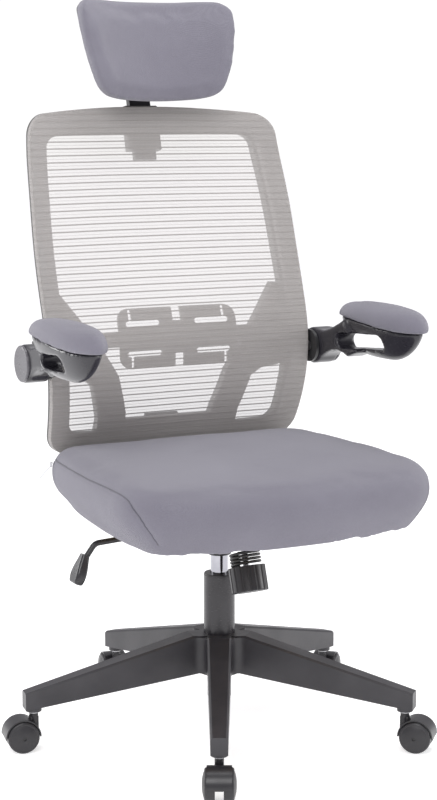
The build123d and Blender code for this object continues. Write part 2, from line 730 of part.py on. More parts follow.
def make_back_frame():
    with BuildPart() as frame:
        loft(back_sheet(FRAME_FRONT, FRAME_BACK))
        extrude(back_outline(), amount=400, both=True, mode=Mode.INTERSECT)
        rear_face = max(frame.faces().sort_by(SortBy.AREA)[-2:], key=lambda f: f.center().Y)
        chamfer(rear_face.edges(), RAIL_BEVEL)
        extrude(back_outline(RAIL_WIDTH, 2), amount=400, both=True, mode=Mode.SUBTRACT)
        # sleeve for the headrest post, standing out of the top rail
        with BuildSketch(post_plane(921)):
            RectangleRounded(2 * SOCKET_HALF, 2 * SOCKET_DEPTH, 4)
        extrude(amount=74)
        with BuildSketch(post_plane(880)):
            Rectangle(2 * POST_HALF + 2 * FIT, 2 * POST_DEPTH + 2 * FIT)
        extrude(amount=180, mode=Mode.SUBTRACT)
        add(nodes["frame_screws"], mode=Mode.SUBTRACT)
    keep(frame.part, "back_frame")


def make_back_support():
    """V-shaped carrier behind the frame; it holds the bracket and the arms."""
    with BuildPart() as support:
        loft(back_sheet(SUPPORT_FRONT, SUPPORT_BACK))
        with BuildSketch(Plane.XZ) as shape:
            Polygon((-128, 442), (128, 442), (128, 486), (-128, 486), align=None)
            for side in (1, -1):
                Polygon((side * 76, 470), (side * 126, 470), (side * 128, 490), (side * 144, 548),
                        (side * 162, 560), (side * 190, 564), (side * 221, 570), (side * 221, 626),
                        (side * 205, 700), (side * 195, 700), (side * 140, 625), (side * 99, 562),
                        (side * 80, 500), align=None)
        extrude(amount=400, both=True, mode=Mode.INTERSECT)
        add(nodes["frame_screws"], mode=Mode.SUBTRACT)
    keep(support.part, "back_support")


def make_arm_mounts():
    """Angle brackets behind the carrier that bring the arm pivots out beside the frame."""
    with BuildPart() as mounts:
        for side in (1, -1):
            with BuildSketch(Plane.YZ.offset(side * MOUNT_X)):
                with BuildLine():
                    CenterArc((ARM_Y, ARM_Z), 27, 90, 180)
                    Polyline((ARM_Y, ARM_Z - 27), (184, ARM_Z - 27), (184, ARM_Z + 27), (ARM_Y, ARM_Z + 27))
                make_face()
            extrude(amount=side * MOUNT_T)
            with BuildSketch(Plane.XZ.offset(-184)):
                with Locations((side * (MOUNT_X + MOUNT_T - 27.5), ARM_Z)):
                    Rectangle(55, 54)
            extrude(amount=-4)
            with BuildSketch(Plane.YZ.offset(side * MOUNT_X)):
                with Locations((ARM_Y, ARM_Z)):
                    Circle(8)
            extrude(amount=side * MOUNT_T, mode=Mode.SUBTRACT)
    keep(mounts.part, "arm_mounts")

    with BuildPart() as pins:
        for side in (1, -1):
            with BuildSketch(Plane.YZ.offset(side * MOUNT_X)):
                with Locations((ARM_Y, ARM_Z)):
                    Circle(8)
            extrude(amount=side * 35)
    keep(pins.part, "arm_pivot_pins")


def make_frame_screws():
    """Screws that join the carrier, frame and rim, and the bracket's two bolts."""
    with BuildPart() as screws:
        for x, z in FRAME_SCREWS:
            depth = back_depth(x, z)
            with BuildSketch(Plane.XZ.offset(-(depth + RIM_BACK - 8))):
                with Locations((x, z)):
                    Circle(2)
            extrude(amount=-(SUPPORT_BACK + 3 - RIM_BACK + 8))
            with BuildSketch(Plane.XZ.offset(-(depth + SUPPORT_BACK + 3))):
                with Locations((x, z)):
                    Circle(4.2)
            extrude(amount=-3)
    keep(screws.part, "frame_screws")


# ---------------------------------------------------------------- lumbar support
def make_lumbar():
    with BuildPart() as plate:
        loft(back_sheet(LUMBAR_FRONT, LUMBAR_FRONT + 5))
        with BuildSketch(Plane.XZ) as face:
            with Locations((0, LUMBAR_Z)):
                RectangleRounded(212, 96, 20)
            # waists on the left and right, notches top and bottom
            for side in (1, -1):
                with Locations((side * 118, LUMBAR_Z)):
                    Ellipse(16, 12, mode=Mode.SUBTRACT)
                for up in (1, -1):
                    with Locations((side * 62, LUMBAR_Z + up * 24)):
                        SlotOverall(62, 9, mode=Mode.SUBTRACT)
                    with Locations((side * 84, LUMBAR_Z + up * 36)):
                        SlotOverall(22, 6, rotation=90, mode=Mode.SUBTRACT)
            with Locations((0, LUMBAR_Z + 48), (0, LUMBAR_Z - 48)):
                Rectangle(16, 44, mode=Mode.SUBTRACT)
        extrude(amount=400, both=True, mode=Mode.INTERSECT)
    keep(plate.part, "lumbar_plate")

    with BuildPart() as bar:
        loft(back_sheet(LUMBAR_FRONT + 5.2, LUMBAR_FRONT + 11))
        with BuildSketch(Plane.XZ):
            with Locations((0, LUMBAR_Z)):
                Rectangle(2 * CROSSBAR_HALF, 24)
        extrude(amount=400, both=True, mode=Mode.INTERSECT)
    keep(bar.part, "lumbar_crossbar")

    # channels on the inner edges of the frame that the crossbar slides in
    with BuildPart() as guides:
        loft(back_sheet(LUMBAR_FRONT - 0.5, LUMBAR_FRONT + 16))
        with BuildSketch(Plane.XZ):
            for side in (1, -1):
                with Locations((side * (CROSSBAR_HALF + 4), LUMBAR_Z)):
                    Rectangle(18, 84)
        extrude(amount=400, both=True, mode=Mode.INTERSECT)
        with BuildSketch(Plane.XZ):
            Rectangle(2 * CROSSBAR_HALF + 1, 2 * LUMBAR_Z + 66)
            Rectangle(2 * CROSSBAR_HALF + 1, 2 * LUMBAR_Z - 66, mode=Mode.SUBTRACT)
        extrude(amount=400, both=True, mode=Mode.SUBTRACT)
        add(nodes["back_frame"], mode=Mode.SUBTRACT)
        add(nodes["mesh_rim"], mode=Mode.SUBTRACT)
    keep(guides.part, "lumbar_guides")


# ---------------------------------------------------------------- headrest
def head_sheet(front, rear, reach=150):
    """Sections of the headrest between two depths behind its front face."""
    sections = []
    for z, edge, middle in HEAD_STATIONS:
        with BuildSketch(Plane.XY.offset(z)) as section:
            with BuildLine():
                ThreePointArc((-reach, edge + front), (0, edge + middle + front), (reach, edge + front))
                Line((reach, edge + front), (reach, edge + rear))
                ThreePointArc((reach, edge + rear), (0, edge + middle + rear), (-reach, edge + rear))
                Line((-reach, edge + rear), (-reach, edge + front))
            make_face()
        sections.append(section.sketch)
    return sections


def head_outline(inset=0):
    """Front view of the headrest: wide at the top, narrowing to a rounded bottom."""
    with BuildSketch(Plane.XZ) as outline:
        top_x, middle_x, low_x = 138 - inset, 133 - inset, 107 - inset
        top, low = 1168 - inset, 1010 + inset
        with BuildLine():
            ThreePointArc((-top_x, top), (0, top - 4), (top_x, top))
            ThreePointArc((top_x, top), (middle_x, 1100), (low_x, low))
            ThreePointArc((low_x, low), (0, low - 9), (-low_x, low))
            ThreePointArc((-low_x, low), (-middle_x, 1100), (-top_x, top))
        make_face()
        fillet(outline.vertices().group_by(Axis.Y)[-1], 22 - inset)
        fillet(outline.vertices().group_by(Axis.Y)[0], 40 - inset)
    return outline.sketch


def make_headrest():
    with BuildPart() as post:
        with BuildSketch(post_plane(905)):
            Rectangle(2 * POST_HALF, 2 * POST_DEPTH)
        extrude(amount=(HEAD_PIVOT_Z - 905) / cos(radians(POST_LEAN)))
        with BuildSketch(Plane.YZ):
            with Locations((HEAD_PIVOT_Y, HEAD_PIVOT_Z)):
                Circle(10)
        extrude(amount=POST_HALF, both=True)
        with BuildSketch(Plane.YZ):
            with Locations((HEAD_PIVOT_Y, HEAD_PIVOT_Z)):
                Circle(4)
        extrude(amount=POST_HALF, both=True, mode=Mode.SUBTRACT)
    keep(post.part, "headrest_post")

    with BuildPart() as shell:
        loft(head_sheet(HEAD_THICK + 0.3, HEAD_THICK + 5))
        extrude(head_outline(9), amount=400, both=True, mode=Mode.INTERSECT)
        for side in (1, -1):
            with BuildSketch(Plane.YZ.offset(side * (POST_HALF + 0.5))) as cheek:
                with Locations((HEAD_PIVOT_Y - 40, HEAD_PIVOT_Z)):
                    Rectangle(80, 28)
                with Locations((HEAD_PIVOT_Y, HEAD_PIVOT_Z)):
                    Circle(14)
            extrude(amount=side * 6)
        loft(head_sheet(0, HEAD_THICK + 0.1), mode=Mode.SUBTRACT)
        with BuildSketch(Plane.YZ):
            with Locations((HEAD_PIVOT_Y, HEAD_PIVOT_Z)):
                Circle(4 - FIT)
        extrude(amount=POST_HALF + 6.5, both=True, mode=Mode.SUBTRACT)
    keep(shell.part, "headrest_shell")

    with BuildPart() as pin:
        with BuildSketch(Plane.YZ):
            with Locations((HEAD_PIVOT_Y, HEAD_PIVOT_Z)):
                Circle(4 - FIT)
        extrude(amount=POST_HALF + 8, both=True)
    keep(pin.part, "headrest_pin")

    with BuildPart() as pad:
        loft(head_sheet(0, HEAD_THICK))
        extrude(head_outline(), amount=400, both=True, mode=Mode.INTERSECT)
    keep(pad.part, "headrest_pad")


# ---------------------------------------------------------------- arms
def seam_line(depth):
    """Region of the side view below the wavy joint between an arm and its pad."""
    with BuildSketch(Plane.YZ) as region:
        with BuildLine():
            Spline((-180, 644), (-120, 644), (-40, 650), (90, 653), tangents=((1, 0), (1, 0)))
            Polyline((90, 653), (200, 653), (200, depth), (-180, depth), (-180, 644))
        make_face()
    return region.sketch


def make_arm(side, name):
    with BuildPart() as body:
        for z, half_width, half_length, y in HULL_SECTIONS:
            with BuildSketch(Plane.XY.offset(z)):
                with Locations((side * ARM_X, y)):
                    Ellipse(half_width, half_length)
        loft()
        extrude(seam_line(500), amount=400, both=True, mode=Mode.INTERSECT)
        # neck from the hull back to the pivot drum
        with BuildSketch(Plane.YZ.offset(side * NECK_X)):
            with BuildLine():
                Spline((ARM_Y - 8, ARM_Z + DRUM_R - 1), (92, 627), (64, 636), (30, 650))
                Line((30, 650), (-10, 600))
                Line((-10, 600), (20, 589))
                Spline((20, 589), (80, 591), (104, 580), (ARM_Y - 8, ARM_Z - DRUM_R + 1))
                Line((ARM_Y - 8, ARM_Z - DRUM_R + 1), (ARM_Y - 8, ARM_Z + DRUM_R - 1))
            make_face()
        extrude(amount=side * (DRUM_OUT - NECK_X))
        with BuildSketch(Plane.YZ.offset(side * DRUM_IN)):
            with Locations((ARM_Y, ARM_Z)):
                Circle(DRUM_R)
        extrude(amount=side * (DRUM_OUT - DRUM_IN))
        # hand hole
        with BuildSketch(Plane.YZ.offset(side * (ARM_X - 60))):
            with Locations(Location((-12, 618), -4)):
                SlotOverall(130, 24)
        extrude(amount=side * 120, mode=Mode.SUBTRACT)
        with BuildSketch(Plane.YZ.offset(side * MOUNT_X)):
            with Locations((ARM_Y, ARM_Z)):
                Circle(8 + FIT)
        extrude(amount=side * 35.2, mode=Mode.SUBTRACT)
    keep(body.part, f"arm_body_{name}")

    with BuildPart() as cap:
        with BuildSketch(Plane.YZ.offset(side * DRUM_OUT)):
            with Locations((ARM_Y, ARM_Z)):
                Circle(DRUM_R - 1.5)
        extrude(amount=side * 4)
        fillet(cap.faces().sort_by(Axis.X)[-1 if side > 0 else 0].edges(), 2.5)
    keep(cap.part, f"arm_cap_{name}")

    with BuildPart() as pad:
        for z, half_width, half_length in PAD_SECTIONS:
            with BuildSketch(Plane.XY.offset(z)):
                with Locations((side * ARM_X, PAD_CENTRE_Y)):
                    Ellipse(half_width, half_length)
        loft()
        extrude(seam_line(500), amount=400, both=True, mode=Mode.SUBTRACT)
    keep(pad.part, f"arm_pad_{name}")


for i in range(5):
    make_caster(i)
make_base_star()
make_caster_stems()
make_gas_lift()
make_mechanism()
make_lever()
make_seat()
make_back_bracket()
make_frame_screws()
make_back_mesh()
make_mesh_rim()
make_back_frame()
make_back_support()
make_arm_mounts()
make_lumbar()
make_headrest()
make_arm(1, "left")
make_arm(-1, "right")

for label, part in nodes.items():
    export_step(part, f"parts/{label}.step")
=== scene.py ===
"""Looks for the mesh-back office chair: covers, mesh, mouldings, materials, lights and camera.

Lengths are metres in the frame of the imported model: +Z up, the chair faces -Y.
"""
import json
import math

import bmesh
import bpy
import numpy as np
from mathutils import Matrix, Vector
from mathutils.bvhtree import BVHTree
from mathutils.kdtree import KDTree


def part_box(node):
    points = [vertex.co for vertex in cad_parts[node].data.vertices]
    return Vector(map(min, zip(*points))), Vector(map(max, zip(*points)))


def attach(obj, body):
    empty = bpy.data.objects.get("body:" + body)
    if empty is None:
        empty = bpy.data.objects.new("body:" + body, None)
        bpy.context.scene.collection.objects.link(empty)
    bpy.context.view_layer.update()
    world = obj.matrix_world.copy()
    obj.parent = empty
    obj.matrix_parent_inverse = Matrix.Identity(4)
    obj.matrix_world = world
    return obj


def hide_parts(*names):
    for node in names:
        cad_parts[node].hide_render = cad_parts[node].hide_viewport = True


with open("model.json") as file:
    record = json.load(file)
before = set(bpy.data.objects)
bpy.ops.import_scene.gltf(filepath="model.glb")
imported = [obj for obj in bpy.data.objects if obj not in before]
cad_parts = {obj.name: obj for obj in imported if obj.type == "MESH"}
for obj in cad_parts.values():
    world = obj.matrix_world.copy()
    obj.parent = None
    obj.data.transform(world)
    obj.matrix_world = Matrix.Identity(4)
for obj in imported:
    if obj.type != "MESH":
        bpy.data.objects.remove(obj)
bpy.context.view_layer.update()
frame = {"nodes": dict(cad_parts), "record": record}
NODES = frame["nodes"]

# ------------------------------------------------------------------ driving dimensions
RIB_PITCH = 0.0109            # dark ribs of the back mesh
WEAVE_PITCH = 0.0016          # threads of the cover fabric
MESH_RINGS = 70               # rows of the back mesh sheet, from its middle to its edge
MESH_SPOKES = 360
MESH_EDGE = 0.9965            # the last row on the face, just inside the rim's outline
MESH_WRAP = ((0.0006, 0.0012), (0.0022, 0.0016), (0.006, 0.0016), (0.010, 0.0016), (0.0128, 0.0014))
                              # round the rim: how far back and how far out each row lies
SEAT_VOXEL = 0.0075           # mesh size of the seat cover
SEAT_SWELL = 0.004            # most that the foam pushes the cover out
BRACKET_NOTCH = 0.036         # half width of the gap under the seat for the back bracket
HEAD_VOXEL = 0.0050
HEAD_SWELL = 0.006
PAD_VOXEL = 0.0036
PAD_SWELL = 0.0022
MOULD_VOXEL = 0.0026
PRESSURE = 4.0                # of the foam on the covers
SWELL_FRAMES = 20
SEAM_SEGMENTS = 160           # of the seam round the headrest
WORLD_LIGHT = 0.62            # soft light from all round
BACKDROP = 1.05               # brightness of the white behind the chair
FLOOR_RADIUS = 30.0
FLOOR_SEGMENTS = 24
FLOOR_DROP = 0.0004           # the floor lies this far under the wheels
AIM_HIGH, AIM_LOW = (0, 0, 0.6), (0, 0, 0.4)
LIGHTS = (                    # name, place, aim, diameter, watts
    ("key", (-1.9, -2.4, 2.6), AIM_HIGH, 2.0, 62),
    ("top", (0.3, 0.1, 3.2), AIM_LOW, 2.4, 44),
    ("left", (-2.4, 2.4, 1.2), AIM_HIGH, 1.8, 45),
    ("right", (3.0, -1.4, 0.9), AIM_HIGH, 1.6, 35),
)
CAMERA_PLACE = (-1.371, -2.691, 1.0085)
CAMERA_PITCH, CAMERA_HEADING = 8.85, -27      # degrees down, degrees about Z
CAMERA_LENS, CAMERA_SENSOR, CAMERA_SHIFT = 87.435, 36.0, -0.0011
PAD_INNER_X = 0.2352          # the arm pads stay outside this, clear of the back when flipped up


# ------------------------------------------------------------------ mesh helpers
def new_piece(name, points, faces):
    """A mesh object from points and faces, smooth shaded."""
    data = bpy.data.meshes.new(name)
    data.from_pydata([tuple(p) for p in points], [], [tuple(f) for f in faces])
    data.update()
    piece = bpy.data.objects.new(name, data)
    bpy.context.scene.collection.objects.link(piece)
    shade_smooth(piece)
    return piece


def shade_smooth(piece):
    piece.data.polygons.foreach_set("use_smooth", [True] * len(piece.data.polygons))
    piece.data.update()


def points_of(piece):
    co = np.empty(len(piece.data.vertices) * 3)
    piece.data.vertices.foreach_get("co", co)
    return co.reshape(-1, 3)


def set_points(piece, co):
    piece.data.vertices.foreach_set("co", np.ascontiguousarray(co).ravel())
    piece.data.update()


def normals_of(piece):
    out = np.empty(len(piece.data.vertices) * 3)
    piece.data.vertex_normals.foreach_get("vector", out)
    return out.reshape(-1, 3)


def apply_modifiers(piece):
    graph = bpy.context.evaluated_depsgraph_get()
    data = bpy.data.meshes.new_from_object(piece.evaluated_get(graph))
    piece.modifiers.clear()
    old = piece.data
    piece.data = data
    bpy.data.meshes.remove(old)
    shade_smooth(piece)


def remeshed(node, name, voxel, filled=False):
    """A new object with an even mesh of the node's solid, its hollows filled if asked."""
    solid = bmesh.new()
    solid.from_mesh(NODES[node].data)
    if filled:
        hull = bmesh.ops.convex_hull(solid, input=solid.verts)
        bmesh.ops.delete(solid, geom=hull["geom_interior"] + hull["geom_unused"], context="VERTS")
        outer = set(hull["geom"])
        inner = [face for face in solid.faces if face not in outer]
        bmesh.ops.delete(solid, geom=inner, context="FACES_ONLY")
    solid.verts.index_update()
    faces = [[v.index for v in f.verts] for f in solid.faces]
    piece = new_piece(name, [v.co for v in solid.verts], faces)
    solid.free()
    weld = piece.modifiers.new("weld", "WELD")
    weld.merge_threshold = 1e-5
    even = piece.modifiers.new("even", "REMESH")
    even.mode = "VOXEL"
    even.voxel_size = voxel
    apply_modifiers(piece)
    return piece


def relax(piece, rounds, keep=None):
    """Evens out and rounds the surface. keep is a mask of points that stay."""
    co = points_of(piece)
    edges = np.empty(len(piece.data.edges) * 2, dtype=np.int64)
    piece.data.edges.foreach_get("vertices", edges)
    edges = edges.reshape(-1, 2)
    count = np.bincount(edges.ravel(), minlength=len(co))[:, None]
    for _ in range(rounds):
        total = np.zeros_like(co)
        np.add.at(total, edges[:, 0], co[edges[:, 1]])
        np.add.at(total, edges[:, 1], co[edges[:, 0]])
        moved = 0.5 * co + 0.5 * total / np.maximum(count, 1)
        if keep is not None:
            moved[keep] = co[keep]
        co = moved
    set_points(piece, co)


def subdivide(piece, levels=1):
    smooth = piece.modifiers.new("smooth", "SUBSURF")
    smooth.levels = levels
    smooth.render_levels = levels
    apply_modifiers(piece)


def swell(piece, cap, held):
    """Blows the closed cover up from inside, as its foam does, no point moving past cap."""
    scene = bpy.context.scene
    before = points_of(piece)
    group = piece.vertex_groups.new(name="held")
    group.add([int(i) for i in np.nonzero(held)[0]], 1.0, "REPLACE")
    cloth = piece.modifiers.new("swell", "CLOTH")
    cloth.settings.use_pressure = True
    cloth.settings.uniform_pressure_force = PRESSURE
    cloth.settings.effector_weights.gravity = 0.0
    cloth.settings.vertex_group_mass = "held"
    cloth.collision_settings.use_collision = False
    cloth.point_cache.frame_start = 1
    cloth.point_cache.frame_end = SWELL_FRAMES
    for number in range(1, SWELL_FRAMES + 1):
        scene.frame_set(number)
    graph = bpy.context.evaluated_depsgraph_get()
    done = piece.evaluated_get(graph).to_mesh()
    after = np.empty(len(done.vertices) * 3)
    done.vertices.foreach_get("co", after)
    piece.evaluated_get(graph).to_mesh_clear()
    piece.modifiers.clear()
    piece.vertex_groups.clear()
    normal = normals_of(piece)
    outward = ((after.reshape(-1, 3) - before) * normal).sum(axis=1, keepdims=True)
    set_points(piece, before + normal * np.clip(outward, 0, cap))
    scene.frame_set(1)


def surface_of(piece):
    points = [v.co.copy() for v in piece.data.vertices]
    return BVHTree.FromPolygons(points, [tuple(p.vertices) for p in piece.data.polygons])


def smooth_path(points, step=0.003):
    """Even points along a Catmull-Rom curve through the given ones."""
    points = [Vector(p) for p in points]
    ends = [points[0] * 2 - points[1]] + points + [points[-1] * 2 - points[-2]]
    out = []
    for a, b, c, d in zip(ends, ends[1:], ends[2:], ends[3:]):
        pieces = max(2, int((c - b).length / step))
        for k in range(pieces):
            t = k / pieces
            out.append(0.5 * ((2 * b) + (c - a) * t + (2 * a - 5 * b + 4 * c - d) * t * t
                              + (3 * b - a - 3 * c + d) * t ** 3))
    out.append(points[-1])
    return out


def tube(name, path, radius, sides=8, closed=False):
    """A round welt along a path."""
    points, faces = [], []
    count = len(path)
    for k, here in enumerate(path):
        ahead = path[(k + 1) % count] if closed or k + 1 < count else here
        behind = path[k - 1] if closed or k else here
        along = (ahead - behind).normalized()
        side = along.cross(Vector((0, 0, 1)))
        if side.length < 0.2:
            side = along.cross(Vector((0, 1, 0)))
        side.normalize()
        up = side.cross(along)
        for j in range(sides):
            a = 2 * math.pi * j / sides
            points.append(here + side * (radius * math.cos(a)) + up * (radius * math.sin(a)))
    for k in range(count if closed else count - 1):
        for j in range(sides):
            low, high = k * sides, ((k + 1) % count) * sides
            faces.append((low + j, low + (j + 1) % sides, high + (j + 1) % sides, high + j))
    if not closed:
        faces.append(tuple(reversed(range(sides))))
        faces.append(tuple(range((count - 1) * sides, count * sides)))
    return new_piece(name, points, faces)


def press_seam(piece, path, depth, reach):
    """Draws the cover in along a sewn line."""
    tree = KDTree(len(path))
    for k, p in enumerate(path):
        tree.insert(p, k)
    tree.balance()
    co, normal = points_of(piece), normals_of(piece)
    far = np.array([tree.find(p)[2] for p in co])
    near = np.clip(1 - far / reach, 0, 1) ** 2
    set_points(piece, co - normal * (depth * near)[:, None])


def laid_on(piece, path, lift):
    """The path moved on to the piece's surface."""
    skin = surface_of(piece)
    out = []
    for p in path:
        spot, normal, _, _ = skin.find_nearest(p)
        out.append(spot + normal * lift)
    return out


# ------------------------------------------------------------------ materials
class Look:
    """A procedural material: a Principled shader with noise, weave and bump nodes feeding it."""

    def __init__(self, name, **fixed):
        self.material = bpy.data.materials.new(name)
        self.material.use_nodes = True
        self.tree = self.material.node_tree
        self.shader = self.tree.nodes["Principled BSDF"]
        for socket, value in fixed.items():
            self.shader.inputs[socket.replace("_", " ")].default_value = value
        self.place = self.tree.nodes.new("ShaderNodeTexCoord").outputs["Object"]
        split = self.tree.nodes.new("ShaderNodeSeparateXYZ")
        self.tree.links.new(self.place, split.inputs[0])
        self.x, self.y, self.z = split.outputs

    def wire(self, source, target):
        if isinstance(source, bpy.types.NodeSocket):
            self.tree.links.new(source, target)
        else:
            target.default_value = source

    def math(self, operation, a, b=0.0, clamp=False):
        node = self.tree.nodes.new("ShaderNodeMath")
        node.operation = operation
        node.use_clamp = clamp
        self.wire(a, node.inputs[0])
        self.wire(b, node.inputs[1])
        return node.outputs[0]

    def ramp(self, value, low, high, to_low=0.0, to_high=1.0):
        node = self.tree.nodes.new("ShaderNodeMapRange")
        node.interpolation_type = "SMOOTHSTEP"
        self.wire(value, node.inputs["Value"])
        node.inputs["From Min"].default_value = low
        node.inputs["From Max"].default_value = high
        node.inputs["To Min"].default_value = to_low
        node.inputs["To Max"].default_value = to_high
        return node.outputs[0]

    def noise(self, scale, detail=2.0, stretch=None):
        node = self.tree.nodes.new("ShaderNodeTexNoise")
        node.inputs["Scale"].default_value = scale
        node.inputs["Detail"].default_value = detail
        place = self.place
        if stretch:
            mapping = self.tree.nodes.new("ShaderNodeMapping")
            mapping.inputs["Scale"].default_value = stretch
            self.tree.links.new(self.place, mapping.inputs["Vector"])
            place = mapping.outputs[0]
        self.tree.links.new(place, node.inputs["Vector"])
        return node.outputs["Fac"]

    def mix(self, amount, a, b):
        node = self.tree.nodes.new("ShaderNodeMix")
        node.data_type = "RGBA"
        self.wire(amount, node.inputs["Factor"])
        self.wire(a if not isinstance(a, tuple) else (*a, 1.0), node.inputs["A"])
        self.wire(b if not isinstance(b, tuple) else (*b, 1.0), node.inputs["B"])
        return node.outputs["Result"]

    def weave(self, pitch):
        """Crossing threads, seen on a surface facing any way."""
        turn = 2 * math.pi / pitch
        across = self.math("SINE", self.math("MULTIPLY", self.math("ADD", self.x, self.y), turn))
        slant = self.math("MULTIPLY", self.math("SUBTRACT", self.x, self.y), turn * 0.5)
        along = self.math("SINE", self.math("ADD", self.math("MULTIPLY", self.z, turn), slant))
        return self.math("MULTIPLY", across, along)

    def bump(self, height, distance, strength=1.0, onto=None):
        node = self.tree.nodes.new("ShaderNodeBump")
        node.inputs["Strength"].default_value = strength
        node.inputs["Distance"].default_value = distance
        self.wire(height, node.inputs["Height"])
        if onto is not None:
            self.tree.links.new(onto, node.inputs["Normal"])
        return node.outputs["Normal"]

    def finish(self, color=None, roughness=None, normal=None, alpha=None):
        inputs = {"Base Color": color, "Roughness": roughness, "Normal": normal, "Alpha": alpha}
        for socket, value in inputs.items():
            if value is not None:
                self.tree.links.new(value, self.shader.inputs[socket])
        return self.material


def fabric(name, light, dark, pitch=WEAVE_PITCH):
    look = Look(name, Sheen_Weight=0.25, Sheen_Roughness=0.45, Specular_IOR_Level=0.25)
    threads = look.weave(pitch)
    heather = look.noise(1400, 2)
    cloudy = look.noise(9, 3)
    mottled = look.math("ADD", look.ramp(heather, 0.3, 0.7, 0.1, 0.6),
                        look.ramp(cloudy, 0.3, 0.7, -0.12, 0.12))
    tone = look.math("ADD", look.math("MULTIPLY", threads, 0.16), mottled)
    color = look.mix(tone, light, dark)
    fine = look.bump(threads, 0.00035, 0.55)
    normal = look.bump(look.noise(45, 3), 0.0012, 0.25, onto=fine)
    return look.finish(color, look.ramp(heather, 0.2, 0.8, 0.78, 0.95), normal)


def moulded(name, light, dark, smooth, rough, grain=1500, depth=0.00012, strength=0.35, **fixed):
    look = Look(name, **fixed)
    fine = look.noise(grain, 2)
    broad = look.noise(14, 4)
    color = look.mix(look.ramp(broad, 0.3, 0.7), light, dark)
    scuffs = look.noise(160, 5, stretch=(1, 1, 6))
    worn = look.ramp(scuffs, 0.55, 0.8, 0.0, 0.08)
    roughness = look.math("ADD", look.ramp(broad, 0.25, 0.75, smooth, rough), worn)
    normal = look.bump(fine, depth, strength)
    return look.finish(color, roughness, normal)


def metal(name, light, dark, smooth, rough):
    look = Look(name, Metallic=1.0)
    lines = look.noise(220, 3, stretch=(1, 1, 30))
    # on the chrome the darker noise patches in this colour are painted dark reflection; on the steel they
    # are tone
    color = look.mix(look.ramp(look.noise(18, 3), 0.3, 0.7), light, dark)
    roughness = look.ramp(lines, 0.3, 0.7, smooth, rough)
    normal = look.bump(lines, 0.00003, 0.3)
    return look.finish(color, roughness, normal)


def open_mesh(name):
    """Knitted mesh: close horizontal ribs with an open ground between them."""
    look = Look(name, Specular_IOR_Level=0.2, Sheen_Weight=0.15, Sheen_Roughness=0.5)
    wander = look.math("MULTIPLY", look.math("SUBTRACT", look.noise(7, 2), 0.5), 0.0012)
    height = look.math("ADD", look.z, wander)
    heavy = look.ramp(look.math("PINGPONG", height, RIB_PITCH / 2), 0.0006, 0.0016, 1.0, 0.0)
    shifted = look.math("ADD", height, RIB_PITCH / 2)
    light = look.ramp(look.math("PINGPONG", shifted, RIB_PITCH / 2), 0.0003, 0.0011, 1.0, 0.0)
    knit = look.math("MULTIPLY", look.math("SINE", look.math("MULTIPLY", look.x, 2 * math.pi / 0.0028)),
                     look.math("SINE", look.math("MULTIPLY", height, 2 * math.pi / 0.0018)))
    rib = look.math("MAXIMUM", heavy, look.math("MULTIPLY", light, 0.45))
    shade = look.math("ADD", rib, look.ramp(look.noise(600, 2), 0.3, 0.7, -0.08, 0.08))
    color = look.mix(shade, (0.580, 0.552, 0.535), (0.290, 0.272, 0.262))
    open_part = look.math("ADD", look.math("MULTIPLY", knit, 0.10), 0.48)
    rib_part = look.math("ADD", look.math("MULTIPLY", rib, 0.52), 0.44)
    cover = look.math("MAXIMUM", open_part, rib_part, clamp=True)
    normal = look.bump(look.math("ADD", rib, look.math("MULTIPLY", knit, 0.3)), 0.0008, 0.6)
    return look.finish(color, look.ramp(knit, -1.0, 1.0, 0.7, 0.9), normal, cover)


def timber(name):
    look = Look(name, Specular_IOR_Level=0.3)
    grain = look.noise(30, 6, stretch=(1, 12, 12))
    color = look.mix(look.ramp(grain, 0.35, 0.65), (0.55, 0.40, 0.24), (0.36, 0.25, 0.14))
    return look.finish(color, look.ramp(grain, 0.3, 0.7, 0.5, 0.7), look.bump(grain, 0.0003, 0.4))


def pale_floor(name):
    look = Look(name, Specular_IOR_Level=0.0, Emission_Color=(1.0, 1.0, 1.0, 1.0), Emission_Strength=0.56)
    cloudy = look.noise(2, 3)
    color = look.mix(look.ramp(cloudy, 0.3, 0.7), (0.80, 0.80, 0.80), (0.79, 0.79, 0.79))
    return look.finish(color, look.ramp(cloudy, 0.3, 0.7, 0.6, 0.75), look.bump(look.noise(300, 2),
                       0.0001, 0.1))


GREY_CLOTH = fabric("grey_cloth", (0.205, 0.198, 0.235), (0.132, 0.125, 0.156))
SEAM_CLOTH = fabric("seam_cloth", (0.125, 0.120, 0.146), (0.082, 0.078, 0.097), pitch=0.0009)
UNDER_CLOTH = fabric("under_cloth", (0.030, 0.030, 0.032), (0.015, 0.015, 0.016), pitch=0.0012)
BACK_MESH = open_mesh("back_mesh_knit")
BLACK_PLASTIC = moulded("black_plastic", (0.020, 0.019, 0.022), (0.013, 0.012, 0.015), 0.26, 0.36)
SHELL_PLASTIC = moulded("shell_plastic", (0.026, 0.025, 0.031), (0.016, 0.015, 0.020), 0.18, 0.26,
                        depth=0.00004)
BASE_PLASTIC = moulded("base_plastic", (0.036, 0.034, 0.039), (0.023, 0.022, 0.026), 0.34, 0.44)
COLUMN_PAINT = moulded("column_paint", (0.030, 0.028, 0.033), (0.020, 0.018, 0.022), 0.20, 0.28,
                       depth=0.00003)
CAP_PLASTIC = moulded("cap_plastic", (0.120, 0.116, 0.128), (0.090, 0.086, 0.096), 0.20, 0.30, depth=0.00004)
FRAME_PLASTIC = moulded("frame_plastic", (0.160, 0.152, 0.150), (0.120, 0.114, 0.113), 0.42, 0.52)
DARK_FRAME = moulded("dark_frame", (0.060, 0.058, 0.056), (0.042, 0.040, 0.040), 0.42, 0.52)
TYRE_PLASTIC = moulded("tyre_plastic", (0.024, 0.023, 0.026), (0.015, 0.014, 0.017), 0.34, 0.44)
PAINTED = moulded("painted_steel", (0.020, 0.020, 0.022), (0.012, 0.012, 0.013), 0.30, 0.42, grain=700)
